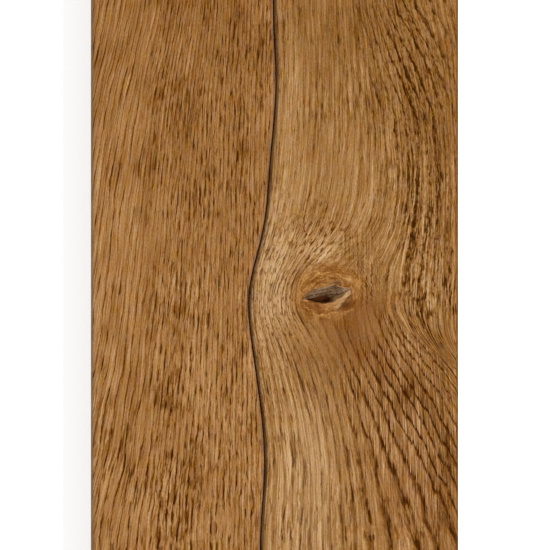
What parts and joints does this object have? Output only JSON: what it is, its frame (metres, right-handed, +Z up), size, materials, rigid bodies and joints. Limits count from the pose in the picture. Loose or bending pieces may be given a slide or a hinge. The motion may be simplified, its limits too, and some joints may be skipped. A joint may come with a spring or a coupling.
{
  "type": "wide plank floorboard",
  "caption": "Wide oak floor plank whose two strips meet on a curved tongue-and-groove seam, with bevelled face edges, an open knot, and grooves for loose tongues in its outer edges and ends.",
  "frame": {"origin": "on the back of the plank, under the middle of its face", "axes": "+X across the plank from the straight-grained strip to the knotty strip, +Y along it from the foot end to the head end (the top of the picture), +Z up from the back to the face"},
  "size_m": [0.22, 1.5, 0.02],
  "materials": {
    "oiled_oak": "brushed and oiled, satin"
  },
  "bodies": {
    "root": {"left_strip": "oiled_oak", "right_strip": "oiled_oak"}
  },
  "joints": []
}
